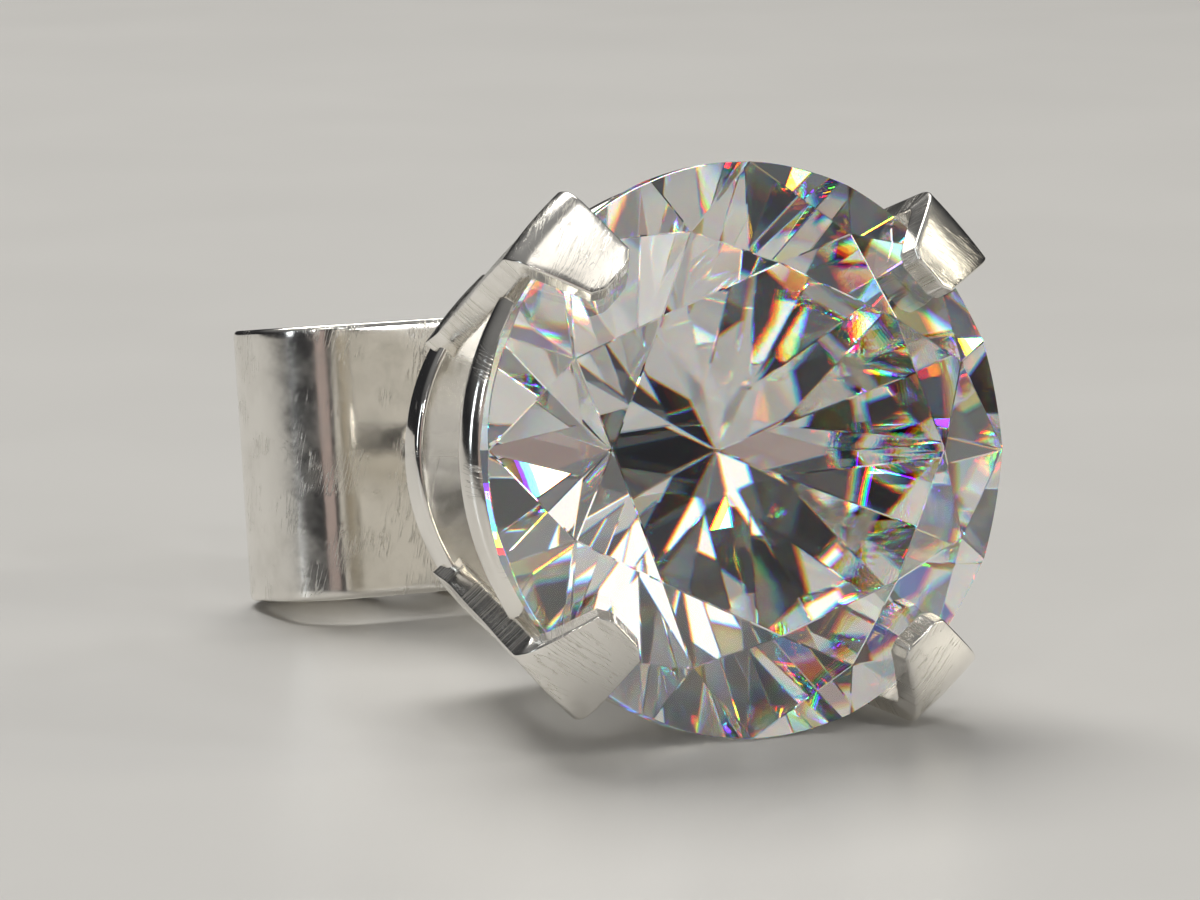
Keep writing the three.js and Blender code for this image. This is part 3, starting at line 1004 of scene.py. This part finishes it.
@dataclass(frozen=True)
class RolledNut:
    """The friction nut: a strip with a dimpled hole and two rolled wings. Millimetres."""

    behind: float = 10.0
    depth: float = 2.88
    span: float = 5.28
    width: float = 4.2
    sheet: float = 0.28
    outer_bend: float = 0.95
    inner_bend: float = 0.45
    tail: float = 0.95
    beside_post: float = 0.55
    corner: float = 0.075
    section_steps: tuple = (4, 42)
    end_round: float = 0.55
    dimple: float = 0.16
    dimple_from: float = 0.35
    dimple_radius: float = 0.85
    rib: float = 0.03
    rib_place: float = 1.62
    rib_width: float = 0.09
    drill_reach: tuple = (1.0, -0.9)

    def _line(self) -> tuple[np.ndarray, np.ndarray, np.ndarray]:
        """The strip's middle line, from one wing's end to the other's.

        Half of it is a plate, a bend, a side, a bend, a back, a tighter bend and a straight tail beside
        the post. The other half is its mirror image.

        Returns:
            Points as x and depth, headings, and the distance along the line from the middle.
        """
        half_sheet = self.sheet / 2
        outermost = self.span / 2 - half_sheet
        inside = self.beside_post + half_sheet
        far = self.depth - half_sheet
        turn_at = outermost - self.outer_bend
        plate = np.column_stack([np.linspace(0, turn_at, 40), np.full(40, half_sheet)])
        tail = np.linspace(0, -self.tail, 17)[1:] + far - self.inner_bend
        half = np.vstack([
            plate,
            arc((turn_at, half_sheet + self.outer_bend), self.outer_bend, -90, 0, 18)[1:],
            arc((turn_at, far - self.outer_bend), self.outer_bend, 0, 90, 18),
            arc((inside + self.inner_bend, far - self.inner_bend), self.inner_bend, 90, 180, 14),
            np.column_stack([np.full_like(tail, inside), tail]),
        ])
        line = np.vstack([(half * [-1, 1])[::-1], half[1:]])
        steps = np.diff(line, axis=0)
        steps /= np.linalg.norm(steps, axis=1)[:, None]
        headings = np.vstack([steps[:1], steps[1:] + steps[:-1], steps[-1:]])
        headings /= np.linalg.norm(headings, axis=1)[:, None]
        distance = np.r_[0, np.cumsum(np.linalg.norm(np.diff(line, axis=0), axis=1))]
        return line, headings, distance - distance[len(half) - 1]

    def surface(self) -> Surface:
        """The strip carried along its line, its ends rounded and its middle dimpled round the hole.

        Returns:
            The closed surface, in the earring's axes.
        """
        line, headings, distance = self._line()
        end = distance[-1]
        to_end = unit(1 - (end - np.abs(distance)) / self.end_round)
        half_width = self.width / 2 - self.end_round * (1 - np.sqrt(1 - 0.98 * to_end**2))
        half_height = np.full_like(half_width, self.sheet / 2)
        radius = np.full_like(half_width, self.corner)
        strip = carried_strip(line, headings, half_width, half_height, radius, self.section_steps)
        surface, width, height = strip
        grid = surface.points.reshape(*width.shape, 3)
        flat = np.abs(line[:, 0]) < self.span / 2 - self.outer_bend - self.sheet / 2
        on_plate = (flat & (line[:, 1] < self.sheet))[:, None]
        from_hole = np.hypot(grid[..., 0], grid[..., 1])
        grid[..., 2] += self.dimple * (1 - eased(from_hole, self.dimple_from, self.dimple_radius)) * on_plate
        rib = self.rib * np.exp(-(((np.abs(width) - self.rib_place) / self.rib_width) ** 2))
        grid[..., 2] += rib * (height > 0) * on_plate
        worn = unit(1 - (self.width / 2 - np.abs(width)) / 0.12) * 0.7
        # recess: inside the rolled wings and round the hole; the finish paints shade there as well as tarnish
        inside_roll = (height > 0) & (np.abs(distance)[:, None] > 1.2)
        round_hole = np.exp(-(((from_hole - 0.6) / 0.25) ** 2)) * on_plate
        recess_tarnish_and_shade = unit(0.55 * inside_roll + 0.6 * round_hole)
        points = grid.reshape(-1, 3) * [1, 1, -1] - [0, 0, self.behind]
        return Surface(points, surface.faces, surface.along, worn.ravel(), recess_tarnish_and_shade.ravel())

    def build(self, placement: Placement, finish: Material) -> None:
        """Makes the nut and cuts its hole.

        Args:
            placement: where the earring lies.
            finish: its silver.
        """
        nut = to_mesh("rolled_nut", self.surface())
        front, back = self.drill_reach
        profile = np.array([[0, front], [self.beside_post, front], [self.beside_post, back], [0, back]])
        drill = to_mesh("drill", turned(profile - [0, self.behind], 64))
        cut = nut.modifiers.new("post_hole", "BOOLEAN")
        cut.operation = "DIFFERENCE"
        cut.solver = "EXACT"
        cut.object = drill
        apply_modifiers(nut)
        bpy.data.objects.remove(drill)
        place_piece(nut, placement.nut, finish, "ear_nut", 35)


# ---- the studio


def stand(name: str, data: object, place: Vector, back: Vector) -> Object:
    """Stands a light or the camera at a place, with its back along a direction."""
    thing = bpy.data.objects.new(name, data)
    thing.location = place
    thing.rotation_mode = "QUATERNION"
    thing.rotation_quaternion = back.to_track_quat("Z", "Y")
    bpy.context.scene.collection.objects.link(thing)
    return thing


@dataclass(frozen=True)
class Softbox:
    """A rectangular light: its place, its sides in metres, its radiance and its colour."""

    name: str
    place: tuple
    sides: tuple
    radiance: float
    colour: tuple = (1.0, 1.0, 1.0)


@dataclass(frozen=True)
class Studio:
    """A pale floor, soft lights, a dim surround and the camera."""

    azimuth: float = -26.0
    elevation: float = 9.0
    distance: float = 0.0875
    fill: float = 0.64
    floor_size: float = 0.4
    floor_colour: tuple = (0.60, 0.59, 0.57, 1.0)
    cloud_colour: tuple = (0.591, 0.58115, 0.56145, 1.0)
    floor_roughness: float = 0.34
    cloud_roughness: float = 0.06
    eye_level: tuple = (0.02, 0.02, 0.022, 1.0)
    overhead: tuple = (0.22, 0.22, 0.22, 1.0)
    backdrop: tuple = (0.50, 0.495, 0.48, 1.0)
    bounces: int = 24
    glossy_bounces: int = 12
    softboxes: tuple = (
        Softbox("key", (-0.042, -0.096, 0.132), (0.085, 0.070), 1.15, (1.0, 0.955, 0.88)),
        Softbox("top", (0.02, 0.14, 0.25), (0.20, 0.16), 7.6, (1.0, 0.985, 0.95)),
        Softbox("right", (0.14, -0.06, 0.06), (0.03, 0.06), 6.0, (1.0, 0.94, 0.78)),
        Softbox("left", (-0.16, -0.03, 0.05), (0.025, 0.05), 4.0, (0.86, 0.93, 1.0)),
        Softbox("warm_card", (-0.075, -0.14, 0.035), (0.05, 0.05), 0.35, (1.0, 0.78, 0.70)),
        Softbox("sparkle_1", (0.03, -0.13, 0.10), (0.008, 0.008), 70.0),
        Softbox("sparkle_2", (-0.10, -0.12, 0.07), (0.007, 0.007), 70.0),
        Softbox("sparkle_3", (0.09, -0.08, 0.11), (0.008, 0.008), 70.0),
        Softbox("sparkle_4", (-0.02, -0.10, 0.16), (0.008, 0.008), 70.0),
        Softbox("sparkle_5", (0.06, -0.14, 0.05), (0.007, 0.007), 70.0),
    )

    def floor(self) -> None:
        """The floor: a pale satin sheet with faint cloudiness."""
        corners = np.array([[-1, -1, 0], [1, -1, 0], [1, 1, 0], [-1, 1, 0]]) * self.floor_size / 2
        sheet = to_mesh("floor", Surface(corners, [np.arange(4)]))
        made = bpy.data.materials.new("pale_floor")
        nodes = NodeTree.blank(made)
        place = nodes.node("ShaderNodeTexCoord").outputs["Object"]
        cloud = nodes.noise(place, scale=90.0, detail=6.0, roughness=0.6)
        colour = nodes.mixed(nodes.ramp(cloud, low=0.35, high=0.65), self.cloud_colour, self.floor_colour)
        rough = nodes.math("ADD", self.floor_roughness, nodes.math("MULTIPLY", cloud, self.cloud_roughness))
        shader = nodes.node("ShaderNodeBsdfPrincipled", {"Base Color": colour, "Roughness": rough})
        nodes.node("ShaderNodeOutputMaterial", {"Surface": shader.outputs[0]})
        sheet.data.materials.append(made)

    def surround(self) -> None:
        """The surround: pale where the camera looks past the floor, dim at eye level and lighter overhead."""
        world = bpy.data.worlds.new("surround")
        nodes = NodeTree.blank(world)
        direction = nodes.node("ShaderNodeTexCoord").outputs["Generated"]
        rise = nodes.node("ShaderNodeSeparateXYZ", {0: direction}).outputs[2]
        dim = nodes.mixed(nodes.ramp(rise, low=0.15, high=0.9), self.eye_level, self.overhead)
        camera = nodes.node("ShaderNodeLightPath").outputs["Is Camera Ray"]
        colour = nodes.mixed(camera, dim, self.backdrop)
        shader = nodes.node("ShaderNodeBackground", {"Color": colour})
        nodes.node("ShaderNodeOutputWorld", {"Surface": shader.outputs[0]})
        bpy.context.scene.world = world

    def lights(self, centre: Vector) -> None:
        """The soft lights, each turned to the earring."""
        for box in self.softboxes:
            lamp = bpy.data.lights.new(box.name, "AREA")
            lamp.shape = "RECTANGLE"
            lamp.size, lamp.size_y = box.sides
            lamp.energy = box.radiance * math.pi * box.sides[0] * box.sides[1]
            lamp.color = box.colour
            place = Vector(box.place)
            stand(box.name, lamp, place, place - centre)

    def camera(self) -> None:
        """The camera, level with the middle of what it sees, from the front left and a little above.

        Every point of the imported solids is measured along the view's own axes. The middle of each range is
        where the camera looks, and the sideways range sets the lens.
        """
        a, e = math.radians(self.azimuth), math.radians(self.elevation)
        back = Vector((math.sin(a) * math.cos(e), -math.cos(a) * math.cos(e), math.sin(e)))
        right = Vector((math.cos(a), math.sin(a), 0.0))
        up = back.cross(right)
        axes = np.array([right, up, back])
        seen = np.vstack([node_points(name) @ axes.T for name in frame["nodes"]])
        middle = (seen.min(axis=0) + seen.max(axis=0)) / 2
        data = bpy.data.cameras.new("camera")
        data.sensor_width = 36.0
        data.lens = data.sensor_width * self.distance * self.fill / np.ptp(seen[:, 0])
        data.clip_start, data.clip_end = 0.002, 10.0
        place = Vector(middle @ axes) + back * self.distance
        bpy.context.scene.camera = stand("camera", data, place, back)

    def light_paths(self) -> None:
        """Lets light bounce often enough inside the stone."""
        cycles = bpy.context.scene.cycles
        cycles.max_bounces = self.bounces
        cycles.transmission_bounces = self.bounces
        cycles.glossy_bounces = self.glossy_bounces
        bpy.context.scene.view_settings.view_transform = "Standard"


def main() -> None:
    """Builds the studio and the earring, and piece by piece."""
    low, high = CAD_BOX
    studio = Studio()
    studio.camera()
    studio.floor()
    studio.surround()
    studio.lights((low + high) / 2)
    studio.light_paths()

    groups = {"hairlines": hairline_group(), "tarnish_and_shade": tarnish_and_shade_group()}
    filed = SilverFinish("filed_silver", Polish.FILED, roughness=0.17, scratch_depth=0.022, scratch_painted_shade=0.6)
    bright = SilverFinish("bright_silver", Polish.BRIGHT).material(groups)
    stamped = SilverFinish("stamped_silver", Polish.STAMPED, roughness=0.14, film_and_shade=0.24)

    stone = Brilliant()
    placement = Placement.from_frame(stone.crown_height)
    stone.build(placement, StoneFinish())
    Basket().build(stone, placement, filed.material(groups), bright)
    Post().build(placement, bright)
    RolledNut().build(placement, stamped.material(groups))

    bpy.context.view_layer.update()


if __name__ == "__main__":
    logging.basicConfig(level=logging.INFO, format="%(name)s: %(message)s")
    main()
